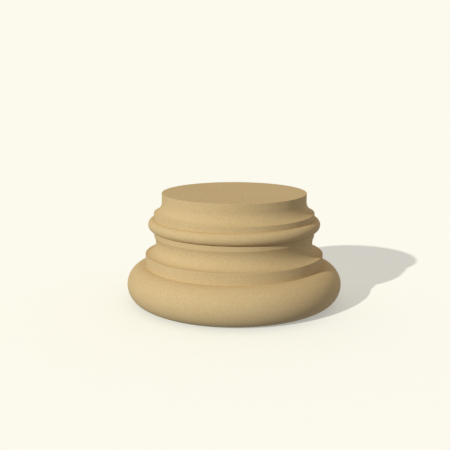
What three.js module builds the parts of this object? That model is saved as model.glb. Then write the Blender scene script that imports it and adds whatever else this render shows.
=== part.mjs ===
// A round stone column base of the Attic kind, worked from one block, in millimetres. It stands on the
// centre of its lower bed, with +Z up. From the floor up it has a large half-round torus, a tall fillet,
// a hollow scotia, a low fillet, a small torus, the cincture and the curved apophyge, which runs up
// into the foot of the shaft. The top is the flat joint that the next stone of the shaft stands on.
import * as THREE from "three";

// The shaft's foot, and how far each fillet stands out from the one above it. The cincture and the upper
// fillet are cut back to one face, and the small torus stands out from it between them.
const SHAFT_RADIUS = 250;
const CINCTURE_PROJECTION = 28;
const LOWER_FILLET_PROJECTION = 31;

// Heights of the members, in order from the lower bed to the shaft.
const LOWER_TORUS_HEIGHT = 133;
const LOWER_FILLET_HEIGHT = 40;
const SCOTIA_LOWER_HEIGHT = 37;
const SCOTIA_UPPER_HEIGHT = 25;
const UPPER_FILLET_HEIGHT = 20;
const UPPER_TORUS_HEIGHT = 40;
const CINCTURE_HEIGHT = 20.5;
const APOPHYGE_HEIGHT = 38;
const SHAFT_FOOT_HEIGHT = 30;

// The lower torus is struck from a centre a little inside the fillet that stands on it.
const LOWER_TORUS_SETBACK = 2;

// How far the scotia's throat is cut in behind the face of the upper fillet.
const SCOTIA_UNDERCUT = 6;

// Eased arrises: how far the easing reaches along each face from the sharp corner.
const ARRIS = 0.8;

// Facets round the axis, the most that one facet of a moulding may turn, and the steps of an arris.
const FACETS_ROUND = 72;
const FACET_TURN = THREE.MathUtils.degToRad(13);
const ARRIS_STEPS = 2;

const STONE_COLOUR = 0xd2ba88;
const STONE_ROUGHNESS = 0.85;

// Radii of the upright faces, measured from the column's axis.
const upperFaceRadius = SHAFT_RADIUS + CINCTURE_PROJECTION;
const lowerFilletRadius = upperFaceRadius + LOWER_FILLET_PROJECTION;

// Heights above the lower bed at which one member ends and the next begins.
const lowerTorusTop = LOWER_TORUS_HEIGHT;
const lowerFilletTop = lowerTorusTop + LOWER_FILLET_HEIGHT;
const throatHeight = lowerFilletTop + SCOTIA_LOWER_HEIGHT;
const scotiaTop = throatHeight + SCOTIA_UPPER_HEIGHT;
const upperFilletTop = scotiaTop + UPPER_FILLET_HEIGHT;
const upperTorusTop = upperFilletTop + UPPER_TORUS_HEIGHT;
const cinctureTop = upperTorusTop + CINCTURE_HEIGHT;
const apophygeTop = cinctureTop + APOPHYGE_HEIGHT;
const shaftFootTop = apophygeTop + SHAFT_FOOT_HEIGHT;

// A point of the profile: x is its distance from the axis and y its height above the bed.
const at = (radius, height) => new THREE.Vector2(radius, height);

// Points of a circular arc in the profile plane, with no facet turning more than FACET_TURN.
function arc(centre, radius, fromAngle, toAngle) {
  const steps = Math.max(2, Math.ceil(Math.abs(toAngle - fromAngle) / FACET_TURN));
  return Array.from({ length: steps + 1 }, (_, i) => {
    const angle = fromAngle + ((toAngle - fromAngle) * i) / steps;
    return at(centre.x + radius * Math.cos(angle), centre.y + radius * Math.sin(angle));
  });
}

// A hollow arc that stands upright at one end, which is its throat, and sweeps out to an edge above
// or below. Its points run from the throat to the edge.
function hollow(throat, edge) {
  const reach = edge.x - throat.x;
  const rise = edge.y - throat.y;
  const radius = (reach ** 2 + rise ** 2) / (2 * reach);
  const centre = at(throat.x + radius, throat.y);
  const sweep = Math.atan2(Math.abs(rise), radius - reach);
  return arc(centre, radius, Math.PI, Math.PI - Math.sign(rise) * sweep);
}

// The lower torus: nearly a half round, from its tangent with the bed to the foot of the fillet.
function lowerTorus() {
  const radius = LOWER_TORUS_HEIGHT / 2;
  const centre = at(lowerFilletRadius - LOWER_TORUS_SETBACK, radius);
  return arc(centre, radius, -Math.PI / 2, Math.acos(LOWER_TORUS_SETBACK / radius));
}

// The scotia: struck from two centres at the height of its throat, a short quadrant below that is
// level at the lip of the lower fillet, and a flatter sweep above that leans out to the upper fillet.
function scotia() {
  const throat = at(upperFaceRadius - SCOTIA_UNDERCUT, throatHeight);
  const below = hollow(throat, at(lowerFilletRadius, lowerFilletTop));
  const above = hollow(throat, at(upperFaceRadius, scotiaTop));
  return [...below.reverse(), ...above.slice(1)];
}

// The small upper torus: a full half round.
function upperTorus() {
  const radius = UPPER_TORUS_HEIGHT / 2;
  return arc(at(upperFaceRadius, upperFilletTop + radius), radius, -Math.PI / 2, Math.PI / 2);
}

// The apophyge: the hollow sweep from the edge of the cincture in to the face of the shaft.
function apophyge() {
  return hollow(at(SHAFT_RADIUS, apophygeTop), at(upperFaceRadius, cinctureTop)).reverse();
}

// A sharp corner of the profile eased to a small curve that is tangent to both of its faces.
function easedArris(before, corner, after) {
  const along = (point) => {
    const reach = Math.min(ARRIS, point.distanceTo(corner) / 2);
    return point.clone().sub(corner).setLength(reach).add(corner);
  };
  return new THREE.QuadraticBezierCurve(along(before), corner, along(after)).getPoints(ARRIS_STEPS);
}

// The whole profile, from the axis at the lower bed to the axis at the top, with its arrises eased.
function baseProfile() {
  const throatSweep = scotia();
  const shaftSweep = apophyge();
  const rim = at(SHAFT_RADIUS, shaftFootTop);
  const arrises = new Set([throatSweep[0], throatSweep.at(-1), shaftSweep[0], rim]);
  const sharp = [
    at(0, 0),
    ...lowerTorus(),
    ...throatSweep,
    ...upperTorus(),
    ...shaftSweep,
    rim,
    at(0, shaftFootTop),
  ];
  return sharp.flatMap((point, i) =>
    arrises.has(point) ? easedArris(sharp[i - 1], point, sharp[i + 1]) : [point],
  );
}

function columnBase() {
  const stone = new THREE.MeshStandardMaterial({
    color: STONE_COLOUR,
    roughness: STONE_ROUGHNESS,
    metalness: 0,
  });
  const mesh = new THREE.Mesh(new THREE.LatheGeometry(baseProfile(), FACETS_ROUND), stone);
  mesh.name = "column_base";
  mesh.rotation.x = Math.PI / 2;
  return mesh;
}

const part = new THREE.Group();
part.add(columnBase());

export default part;
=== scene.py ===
# %% [markdown]
# A round column base in sandstone
#
# This lesson dresses a column base of the Attic kind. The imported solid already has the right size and
# shape, but its round mouldings are made of flat facets. Here the base is turned again with a finer
# surface, given the finish of rubbed sandstone, and set in a plain pale studio.

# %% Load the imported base
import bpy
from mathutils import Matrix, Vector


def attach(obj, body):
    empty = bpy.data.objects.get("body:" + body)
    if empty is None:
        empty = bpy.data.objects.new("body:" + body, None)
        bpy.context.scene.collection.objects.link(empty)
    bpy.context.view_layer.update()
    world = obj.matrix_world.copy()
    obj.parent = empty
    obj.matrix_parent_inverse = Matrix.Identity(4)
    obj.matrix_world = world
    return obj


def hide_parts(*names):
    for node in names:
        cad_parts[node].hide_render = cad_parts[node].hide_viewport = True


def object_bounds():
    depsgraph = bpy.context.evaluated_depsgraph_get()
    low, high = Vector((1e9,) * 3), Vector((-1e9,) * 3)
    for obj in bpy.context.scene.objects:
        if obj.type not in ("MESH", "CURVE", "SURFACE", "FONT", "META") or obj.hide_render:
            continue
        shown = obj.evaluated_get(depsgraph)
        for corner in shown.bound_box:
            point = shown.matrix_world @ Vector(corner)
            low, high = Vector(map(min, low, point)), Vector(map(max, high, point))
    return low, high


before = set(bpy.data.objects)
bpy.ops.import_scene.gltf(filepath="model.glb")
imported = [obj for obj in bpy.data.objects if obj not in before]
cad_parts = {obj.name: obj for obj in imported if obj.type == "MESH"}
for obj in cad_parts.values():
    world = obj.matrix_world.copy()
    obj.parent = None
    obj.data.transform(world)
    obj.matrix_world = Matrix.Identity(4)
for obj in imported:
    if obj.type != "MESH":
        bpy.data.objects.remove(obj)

packed_low, packed_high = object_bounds()
print("packed base:", [round(x, 4) for x in packed_low], "to", [round(x, 4) for x in packed_high])

# %% [markdown]
# The sizes
#
# A mason sets out a base from the shaft: each fillet projects a little further than the one above, and
# the heights are stepped up a rod from the bed. The same sizes are kept here, in metres, so that one
# moulding can be changed without upsetting the rest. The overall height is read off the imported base.

# %% Projections and heights
import math

import bmesh
import bpy
from mathutils import Vector

SHAFT_RADIUS = 0.250
CINCTURE_PROJECTION = 0.028
LOWER_FILLET_PROJECTION = 0.031
LOWER_TORUS_HEIGHT = 0.133
LOWER_TORUS_SETBACK = 0.002
LOWER_FILLET_HEIGHT = 0.040
SCOTIA_LOWER_HEIGHT = 0.037
SCOTIA_UPPER_HEIGHT = 0.025
SCOTIA_UNDERCUT = 0.006
UPPER_FILLET_HEIGHT = 0.020
UPPER_TORUS_HEIGHT = 0.040
CINCTURE_HEIGHT = 0.0205
APOPHYGE_HEIGHT = 0.038

top = packed_high.z
upper_face_radius = SHAFT_RADIUS + CINCTURE_PROJECTION
lower_fillet_radius = upper_face_radius + LOWER_FILLET_PROJECTION
bed_radius = lower_fillet_radius - LOWER_TORUS_SETBACK
throat_radius = upper_face_radius - SCOTIA_UNDERCUT
lower_fillet_top = LOWER_TORUS_HEIGHT + LOWER_FILLET_HEIGHT
throat_height = lower_fillet_top + SCOTIA_LOWER_HEIGHT
scotia_top = throat_height + SCOTIA_UPPER_HEIGHT
upper_fillet_top = scotia_top + UPPER_FILLET_HEIGHT
cincture_bottom = upper_fillet_top + UPPER_TORUS_HEIGHT
cincture_top = cincture_bottom + CINCTURE_HEIGHT
apophyge_top = cincture_top + APOPHYGE_HEIGHT
print("the foot of the shaft is", round((top - apophyge_top) * 1000, 1), "mm high")

# %% [markdown]
# One point to draw with
#
# A lathe-turned shape needs only its outline. The outline could be typed in as a long list of points,
# but a mason strikes it with a rule and a pair of compasses, and so do we. A small plane is merged to
# a single vertex at the edge of the bed, and that vertex is the point of the pencil.

# %% Set the pencil at the edge of the bed
PLANE_SIZE = 0.01

bpy.ops.object.select_all(action="DESELECT")
bpy.ops.mesh.primitive_plane_add(size=PLANE_SIZE, location=(bed_radius, 0, 0))
bpy.ops.object.transform_apply(location=True)
base = bpy.context.object
base.name = "turned_stone_base"
bpy.ops.object.mode_set(mode="EDIT")
bpy.ops.mesh.select_all(action="SELECT")
bpy.ops.mesh.merge(type="CENTER")


def pencil():
    """The selected end of the outline, as its distance from the axis and its height."""
    mesh = bmesh.from_edit_mesh(base.data)
    end = next(v for v in mesh.verts if v.select)
    return Vector((end.co.x, end.co.z))


print("the pencil starts at", tuple(round(x, 4) for x in pencil()))

# %% [markdown]
# Two strokes
#
# The rule stroke extrudes the end vertex upwards in short steps. The compass stroke spins it round a
# centre: a positive sweep swells out into a torus, a negative one cuts in to a hollow. The hollows of a
# base are upright at their throat, so the centre of each lies level with its throat, and where the arc
# starts or ends on the edge of a fillet fixes its radius.

# %% The rule and the compasses
LONGEST_STEP = 0.004
SHARPEST_TURN = math.radians(6)


def rule_up_to(height):
    """A straight upright face, drawn to that height in short steps."""
    rise = height - pencil().y
    steps = math.ceil(rise / LONGEST_STEP)
    for _ in range(steps):
        bpy.ops.mesh.extrude_region_move(TRANSFORM_OT_translate={"value": (0, 0, rise / steps)})


def compass(centre, sweep):
    """An arc of the outline about a centre, sweeping outwards if positive and inwards if negative."""
    length = abs(sweep) * (pencil() - centre).length
    steps = math.ceil(max(length / LONGEST_STEP, abs(sweep) / SHARPEST_TURN))
    bpy.ops.mesh.spin(steps=steps, angle=sweep, center=(centre.x, 0, centre.y), axis=(0, 1, 0))


def hollow(throat, edge):
    """The centre and the sweep of an arc that is upright at its throat and passes through an edge."""
    reach = edge.x - throat.x
    rise = abs(edge.y - throat.y)
    radius = (reach**2 + rise**2) / (2 * reach)
    return Vector((throat.x + radius, throat.y)), -math.atan2(rise, radius - reach)


print("a full turn of the compasses takes", round(2 * math.pi / SHARPEST_TURN), "steps or more")

# %% [markdown]
# The outline, from the bed to the top
#
# The members are drawn in the order in which they stand. The large torus is nearly a half round, the
# scotia is struck from two centres that share one throat, the small torus is a full half round, and
# the apophyge carries the cincture in to the face of the shaft.

# %% Draw the outline
torus_radius = LOWER_TORUS_HEIGHT / 2
compass(Vector((bed_radius, torus_radius)), math.pi / 2 + math.acos(LOWER_TORUS_SETBACK / torus_radius))
rule_up_to(lower_fillet_top)

throat = Vector((throat_radius, throat_height))
compass(*hollow(throat, Vector((lower_fillet_radius, lower_fillet_top))))
compass(*hollow(throat, Vector((upper_face_radius, scotia_top))))
rule_up_to(upper_fillet_top)

compass(Vector((upper_face_radius, upper_fillet_top + UPPER_TORUS_HEIGHT / 2)), math.pi)
rule_up_to(cincture_top)

compass(*hollow(Vector((SHAFT_RADIUS, apophyge_top)), Vector((upper_face_radius, cincture_top))))
rule_up_to(top)
print("the outline has", len(bmesh.from_edit_mesh(base.data).verts), "points and ends at",
      tuple(round(x, 4) for x in pencil()))

# %% [markdown]
# Turning the outline
#
# The whole outline is now spun once round the axis. The last step of a full turn lands on the first, so
# the spin is told to merge the two, which leaves no seam. The number of steps is high enough that no
# flat shows on the widest moulding.

# %% Spin the outline round the axis
STEPS_ROUND = 288

bpy.ops.mesh.select_all(action="SELECT")
bpy.ops.mesh.spin(steps=STEPS_ROUND, angle=2 * math.pi, center=(0, 0, 0), axis=(0, 0, 1),
                  use_auto_merge=True)
print("the turned skin has", len(bmesh.from_edit_mesh(base.data).faces), "faces")

# %% [markdown]
# Closing the beds
#
# The spin leaves a round opening at the foot and another on top. Each rim is filled with one face. A
# narrow margin is inset just inside the rim, so that the shading of the flat bed doesn't bleed into
# the rounded edge, and the middle is then poked into a fan that meets on the axis. A spin can leave
# faces that look inwards, so the whole skin is told at the end which side is out.

# %% Fill the lower bed and the seat of the shaft
BED_MARGIN = 0.004
TOUCHING = 0.0001


def select_edges(wanted):
    """Selects only the edges whose two ends pass a test of distance and height, and counts them."""
    bpy.ops.mesh.select_mode(type="EDGE")
    bpy.ops.mesh.select_all(action="DESELECT")
    mesh = bmesh.from_edit_mesh(base.data)
    for edge in mesh.edges:
        edge.select_set(all(wanted(math.hypot(v.co.x, v.co.y), v.co.z) for v in edge.verts))
    mesh.select_flush_mode()
    bmesh.update_edit_mesh(base.data)
    return sum(edge.select for edge in mesh.edges)


for bed_height in (0, top):
    rim = select_edges(lambda r, z: abs(z - bed_height) < TOUCHING)
    bpy.ops.mesh.edge_face_add()
    bpy.ops.mesh.inset(thickness=BED_MARGIN)
    bpy.ops.mesh.poke()
    print("closed a bed with a rim of", rim, "edges")

bpy.ops.mesh.select_all(action="SELECT")
bpy.ops.mesh.normals_make_consistent(inside=False)

# %% [markdown]
# Easing the arrises
#
# A sharp stone edge chips at the first knock, so a mason takes the edge off with a rubbing block. A
# bevel of a millimetre or so does the same, and it also catches the thin line of light that tells the
# eye how crisp an edge is. Only the outer corners are eased. The inner corners stay as they were cut.

# %% Bevel the four arrises
ARRIS = 0.0008
ARRIS_STEPS = 3

arrises = [
    (lower_fillet_radius, lower_fillet_top),
    (upper_face_radius, scotia_top),
    (upper_face_radius, cincture_top),
    (SHAFT_RADIUS, top),
]
for radius, height in arrises:
    found = select_edges(lambda r, z: abs(r - radius) < TOUCHING and abs(z - height) < TOUCHING)
    bpy.ops.mesh.bevel(offset=ARRIS, segments=ARRIS_STEPS, affect="EDGES")
    print("eased an arris of", found, "edges at height", round(height, 4))
bpy.ops.mesh.select_all(action="DESELECT")
bpy.ops.object.mode_set(mode="OBJECT")

# %% [markdown]
# Is it one whole stone?
#
# A solid stone has no gap in its skin, so every edge must lie between exactly two faces, and the two
# must agree on which side is out. If all edges do and the volume comes out positive, the skin is closed
# and every face looks outwards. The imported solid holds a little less, because its facets cut across the
# round of the stone.

# %% Measure the turned shape
shape = bmesh.new()
shape.from_mesh(base.data)
print("open or turned edges:", sum(not edge.is_contiguous for edge in shape.edges),
      "volume:", round(shape.calc_volume(signed=True), 5), "cubic metres")
shape.free()

# %% [markdown]
# Smooth curves, crisp corners
#
# Smooth shading hides the small facets of the curves. The angle keeps the inner corners sharp, where a
# torus meets a fillet, and lets every curve and eased arris run smoothly.

# %% Shade the curves smooth
CREASE = math.radians(35)

bpy.ops.object.select_all(action="DESELECT")
base.select_set(True)
bpy.context.view_layer.objects.active = base
bpy.ops.object.shade_smooth_by_angle(angle=CREASE)
print("edges kept sharp:", sum(edge.use_edge_sharp for edge in base.data.edges))

# %% [markdown]
# The finish: rubbed sandstone
#
# The stone is a fine, even, tan sandstone with a matt face. Seen from a step away it has one colour.
# Close by it breaks up into grains of about a millimetre, some paler and some browner, with a dark
# grain here and there. A painted picture of the stone would stretch over the mouldings, so the finish
# is built from nodes instead. Four short helpers keep the tree readable.

# %% Helpers for the node tree
stone = bpy.data.materials.new("rubbed_sandstone")
stone.use_nodes = True
nodes = stone.node_tree.nodes
links = stone.node_tree.links
nodes.clear()


def feed(socket, value):
    """Gives a socket its value: a link if it is another node's output, and else the plain value."""
    if isinstance(value, bpy.types.NodeSocket):
        links.new(value, socket)
    else:
        socket.default_value = value


def add(kind, **inputs):
    """A shader node with its named inputs fed."""
    node = nodes.new(kind)
    for name, value in inputs.items():
        feed(node.inputs[name.replace("_", " ")], value)
    return node


def ramp(value, low, high, first, second):
    """A colour that runs from the first to the second while the value runs from low to high."""
    node = add("ShaderNodeValToRGB", Fac=value)
    start, end = node.color_ramp.elements
    start.position = low
    start.color = (*first, 1)
    end.position = high
    end.color = (*second, 1)
    return node.outputs["Color"]


def combine(operation, first, second):
    """Two colours or directions put together by a vector operation."""
    node = add("ShaderNodeVectorMath")
    node.operation = operation
    feed(node.inputs[0], first)
    feed(node.inputs[1], second)
    return node


print("an empty tree is ready for", stone.name)

# %% [markdown]
# The layers of the stone
#
# Sandstone is laid down as sand, so its colour drifts slowly through the block, changes a little from
# one thin bed to the next, and is mottled where the grains are cemented better or worse. The layers go
# from the broadest to the finest. Each reads the stone's own coordinates, so it runs through the block
# from face to face and moves with the base.

# %% Clouds, bedding, mottle and grains
CLOUD_SIZE = 0.14
BED_THICKNESS = 0.02
MOTTLE_SIZE = 0.005
GRAIN_SIZE = 0.0011

# The bedding is squeezed flat: the thickness of each patch is this share of its width.
BED_FLATNESS = 0.06

place = add("ShaderNodeTexCoord").outputs["Object"]
squeezed = add("ShaderNodeMapping", Vector=place, Scale=(BED_FLATNESS, BED_FLATNESS, 1.0)).outputs[0]
clouds = add("ShaderNodeTexNoise", Vector=place, Scale=1 / CLOUD_SIZE, Detail=3.0, Roughness=0.5)
bedding = add("ShaderNodeTexNoise", Vector=squeezed, Scale=1 / BED_THICKNESS, Detail=4.0)
mottle = add("ShaderNodeTexNoise", Vector=place, Scale=1 / MOTTLE_SIZE, Detail=3.0, Roughness=0.65)
grains = add("ShaderNodeTexVoronoi", Vector=place, Scale=1 / GRAIN_SIZE, Randomness=1.0)
number_of_grain = add("ShaderNodeSeparateColor", Color=grains.outputs["Color"])
print("stone nodes so far:", len(nodes))

# %% [markdown]
# Mixing the tones
#
# Each layer shifts the tan towards a browner or a paler tone. A tone is written as three shares of the
# stone's own colour, so no layer can run away with it. The shares are small, because the stone is very
# even, and the browner tones lose most blue, as they do where iron has stained the sand. A noise texture
# seldom leaves the middle of its range. A grain has plain random numbers, each anywhere from 0 to 1: one
# gives its tone, and the lowest few of another pick out the dark grains.

# %% Tint the stone
STONE_COLOUR = (0.640, 0.477, 0.246)
NOISE_RANGE = (0.3, 0.7)
GRAIN_RANGE = (0.0, 1.0)
DARK_GRAIN_RANGE = (0.012, 0.02)


def tint(colour, layer, span, brown, pale):
    """The colour shifted to brown at the low end of the layer's span, and to pale at its high end."""
    return combine("MULTIPLY", colour, ramp(layer, *span, brown, pale)).outputs["Vector"]


colour = tint(STONE_COLOUR, clouds.outputs["Fac"], NOISE_RANGE,
              brown=(0.99, 0.983, 0.965), pale=(1.01, 1.017, 1.035))
colour = tint(colour, bedding.outputs["Fac"], NOISE_RANGE,
              brown=(0.992, 0.988, 0.98), pale=(1.008, 1.012, 1.02))
colour = tint(colour, mottle.outputs["Fac"], NOISE_RANGE,
              brown=(0.965, 0.955, 0.935), pale=(1.035, 1.045, 1.065))
colour = tint(colour, number_of_grain.outputs["Red"], GRAIN_RANGE,
              brown=(0.90, 0.88, 0.84), pale=(1.10, 1.12, 1.16))
colour = tint(colour, number_of_grain.outputs["Green"], DARK_GRAIN_RANGE,
              brown=(0.68, 0.64, 0.60), pale=(1, 1, 1))
print("stone nodes with the tones:", len(nodes))

# %% [markdown]
# The feel of the face
#
# Rubbing wears the tops of the grains level but never closes the face. The grains are given a shallow
# rounded relief, and the mottle opens it a little more in some places than in others. Both are bumps
# of the shading alone, less than a third of a millimetre deep, and leave the outline as it is.

# %% Raise the grains
GRAIN_RELIEF = 0.0002
MOTTLE_RELIEF = 0.0003
RUBBED_DOWN = 0.3

# A grain is highest at its centre, and falls to nothing where its neighbours begin.
GRAIN_REACH = 0.8

rounding = add("ShaderNodeMapRange", Value=grains.outputs["Distance"], From_Min=0.0, From_Max=GRAIN_REACH,
               To_Min=1.0, To_Max=0.0)
grain_bump = add("ShaderNodeBump", Height=rounding.outputs["Result"], Strength=RUBBED_DOWN,
                 Distance=GRAIN_RELIEF)
face_bump = add("ShaderNodeBump", Height=mottle.outputs["Fac"], Strength=RUBBED_DOWN,
                Distance=MOTTLE_RELIEF, Normal=grain_bump.outputs[0])
surface = add(
    "ShaderNodeBsdfPrincipled",
    Base_Color=colour,
    Roughness=0.9,
    Specular_IOR_Level=0.2,
    Normal=face_bump.outputs[0],
)
add("ShaderNodeOutputMaterial", Surface=surface.outputs[0])
base.data.materials.clear()
base.data.materials.append(stone)
print("stone nodes:", len(nodes))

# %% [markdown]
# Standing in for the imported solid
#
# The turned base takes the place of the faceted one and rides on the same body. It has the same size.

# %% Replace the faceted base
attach(base, "root")
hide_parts("column_base")
print(base.name, "has", len(base.data.polygons), "faces and stands in for column_base")

# %% [markdown]
# The camera
#
# The view was found from the outline of the base itself: each rim of a round base is seen as an
# ellipse, and how open that ellipse is tells how far the eye stands above it. The camera stands eleven
# shaft radii from the axis and looks down by eleven degrees.

# %% Place the camera
CAMERA_DISTANCE = 2.724
CAMERA_HEIGHT = 0.8023
LOOKING_DOWN = math.radians(11.106)
TURNED_LEFT = math.radians(0.6665)
LENS = 63.69
SENSOR = 36.0

bpy.ops.object.camera_add(
    location=(0, -CAMERA_DISTANCE, CAMERA_HEIGHT),
    rotation=(math.pi / 2 - LOOKING_DOWN, 0, TURNED_LEFT),
)
camera = bpy.context.object
camera.data.lens = LENS
camera.data.sensor_width = SENSOR
bpy.context.scene.camera = camera
print("the camera stands", round(CAMERA_DISTANCE / SHAFT_RADIUS, 1), "shaft radii from the axis")

# %% [markdown]
# The light
#
# One lamp stands far off to the left front, a quarter of the way up the sky. It rakes across the
# mouldings, so each of them shows a lit brow and a shaded underside. The rest of the light is soft and
# comes from all round. It is strongest behind the base, a little to the right, and weakest in front,
# which keeps the shaded side open without flattening the shape. It is a little cooler than the lamp,
# so the shaded side doesn't look browner than the stone is, and it turns warmer overhead.

# %% Hang the lamp and fill the air with soft light
KEY_LEFT = math.radians(40)
KEY_HEIGHT = math.radians(24.8)
KEY_LIGHT = 0.82
KEY_TONE = (1.01, 1.02, 0.985)
KEY_SPREAD = math.radians(1)

FILL_LIGHT = 0.365
FILL_SWING = 0.239
FILL_TOWARDS = Vector((0.37, 0.90, 0.22)).normalized()
HORIZON_TONE = (0.965, 0.98, 1.045)
CEILING_TONE = (1.12, 0.97, 0.77)

bpy.ops.object.light_add(type="SUN", rotation=(math.pi / 2 - KEY_HEIGHT, 0, -KEY_LEFT))
key = bpy.context.object
key.data.color = KEY_TONE
key.data.angle = KEY_SPREAD

# A sun lamp of energy pi lights a white face that looks straight at it to exactly white.
key.data.energy = KEY_LIGHT * math.pi
print("the lamp's energy is", round(key.data.energy, 3))

# %% [markdown]
# How much light falls on the floor
#
# The floor has to look as pale as the air behind it, so the light that it gets is worked out first. A
# level surface gets the lamp's light at a slant, and the soft light of the upper half of the room. As
# that surface weighs the directions above it, their rise has a mean of two thirds, and the square of
# their rise has a mean of one half.

# %% Work out the light on a level surface
MEAN_RISE = 2 / 3
MEAN_SQUARE_RISE = 1 / 2

lamp_share = KEY_LIGHT * math.sin(KEY_HEIGHT)
soft_share = FILL_LIGHT + FILL_SWING * FILL_TOWARDS.z * MEAN_RISE
high_share = FILL_LIGHT * MEAN_RISE + FILL_SWING * FILL_TOWARDS.z * MEAN_SQUARE_RISE
level_light = [
    lamp_share * lamp + soft_share * low + high_share * (high - low)
    for lamp, low, high in zip(KEY_TONE, HORIZON_TONE, CEILING_TONE)
]
print("light on a level surface:", [round(light, 3) for light in level_light])

# %% [markdown]
# The pale paper
#
# A roll of pale paper lies under the base and runs back as far as the eye can see. A slight glow makes
# up for the light that it doesn't get. The air has the same tone where the camera sees it, so no line
# shows where the paper ends. The paper gives no light to the base, because the light was matched on the
# stone alone.

# %% Lay the paper
PAPER_WIDTH = 60
BACKDROP = Vector((0.974, 0.956, 0.847))

bpy.ops.mesh.primitive_plane_add(size=PAPER_WIDTH, location=(0, 0, 0))
floor = bpy.context.object
floor.name = "studio_floor"
floor.visible_diffuse = False
floor.visible_glossy = False
floor.visible_shadow = False

paper = bpy.data.materials.new("pale_paper")
paper.use_nodes = True
sheet = paper.node_tree.nodes["Principled BSDF"].inputs
sheet["Base Color"].default_value = (*BACKDROP, 1)
sheet["Roughness"].default_value = 1.0
sheet["Specular IOR Level"].default_value = 0.0
glow = [shade * (1 - light) for shade, light in zip(BACKDROP, level_light)]
sheet["Emission Color"].default_value = (*glow, 1)
sheet["Emission Strength"].default_value = 1.0
floor.data.materials.append(paper)
print("the paper is", PAPER_WIDTH, "metres wide and glows by", [round(part, 3) for part in glow])

# %% [markdown]
# The air
#
# The soft light comes from the air itself. How strong it is in a direction depends on how far that
# direction leans towards the brightest side, and its tone warms with height. Only the camera sees the
# even backdrop instead.

# %% Shade the air
world = bpy.data.worlds.new("studio_air")
bpy.context.scene.world = world
world.use_nodes = True

# The helpers add their nodes to the tree that these two names stand for, so now it is the air's.
nodes = world.node_tree.nodes
links = world.node_tree.links
nodes.clear()

direction = add("ShaderNodeTexCoord").outputs["Generated"]
lean = combine("DOT_PRODUCT", direction, FILL_TOWARDS).outputs["Value"]
strength = add("ShaderNodeMapRange", Value=lean, From_Min=-1.0, From_Max=1.0,
               To_Min=FILL_LIGHT - FILL_SWING, To_Max=FILL_LIGHT + FILL_SWING)

rise = add("ShaderNodeSeparateXYZ", Vector=direction).outputs["Z"]
tone = ramp(rise, 0.0, 1.0, HORIZON_TONE, CEILING_TONE)
soft = add("ShaderNodeBackground", Color=tone, Strength=strength.outputs["Result"])
seen = add("ShaderNodeBackground", Color=(*BACKDROP, 1), Strength=1.0)

# The mixer's two shader inputs share one name, so they are fed by their place.
air = add("ShaderNodeMixShader", Fac=add("ShaderNodeLightPath").outputs["Is Camera Ray"])
feed(air.inputs[1], soft.outputs[0])
feed(air.inputs[2], seen.outputs[0])
add("ShaderNodeOutputWorld", Surface=air.outputs[0])
bpy.context.scene.view_settings.view_transform = "Standard"
print("soft light from", round(FILL_LIGHT - FILL_SWING, 3), "in front to",
      round(FILL_LIGHT + FILL_SWING, 3), "behind")
